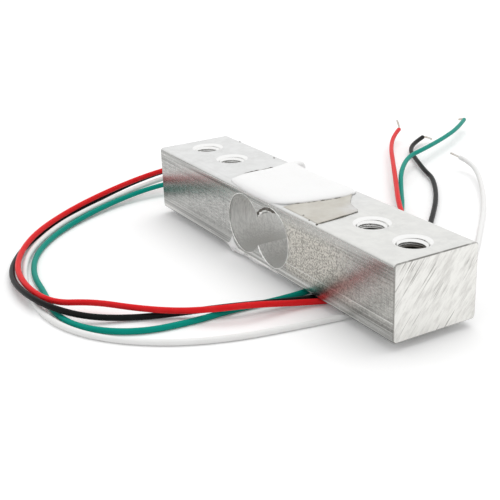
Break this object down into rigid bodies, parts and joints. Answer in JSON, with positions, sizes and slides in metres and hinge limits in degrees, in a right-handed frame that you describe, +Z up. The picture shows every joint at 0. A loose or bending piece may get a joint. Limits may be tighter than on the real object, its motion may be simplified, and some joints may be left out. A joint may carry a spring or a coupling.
{
  "type": "straight bar load cell",
  "caption": "Straight aluminium bar load cell with a binocular flexure cut-out, tapped mounting holes, white sealant over its strain gauges and loose coloured leads.",
  "frame": {"origin": "on the surface that the part stands on, below the middle of the bar: the underside of the bottom sealant", "axes": "+X along the bar towards the load end, +Y towards the back face where the leads leave, +Z up"},
  "size_m": [0.093, 0.1343, 0.0149],
  "materials": {
    "bar_metal": "mill finish on the long faces, sawn ends",
    "sealant": "white soft-set sealant, satin",
    "film": "thin beige film",
    "gauge_backing": "amber film",
    "gauge_foil": "etched resistance foil",
    "solder": "bright solder",
    "fine_wire": "enamelled copper",
    "board": "glass fibre board",
    "pad_metal": "bare copper",
    "tinned_copper": "tinned strands",
    "jacket_red": "semi-gloss soft jacket",
    "jacket_white": "semi-gloss soft jacket",
    "jacket_green": "semi-gloss soft jacket",
    "jacket_black": "semi-gloss soft jacket"
  },
  "bodies": {
    "root": {"flexure_bar": "bar_metal", "top_sealant": "sealant", "bottom_sealant": "sealant", "side_sealant": "sealant", "cover_film": "film", "gauge_backing_top": "gauge_backing", "gauge_backing_bottom": "gauge_backing", "gauge_foil_top": "gauge_foil", "gauge_foil_bottom": "gauge_foil", "gauge_solder_top": "solder", "gauge_solder_bottom": "solder", "jumper_wires_top": "fine_wire", "jumper_wires_bottom": "fine_wire", "terminal_board": "board", "terminal_pads": "pad_metal", "terminal_solder": "solder", "lead_tails": "tinned_copper", "lead_red": "jacket_red", "tinned_end_red": "tinned_copper", "lead_white": "jacket_white", "tinned_end_white": "tinned_copper", "lead_green": "jacket_green", "tinned_end_green": "tinned_copper", "lead_black": "jacket_black", "tinned_end_black": "tinned_copper"}
  },
  "joints": []
}
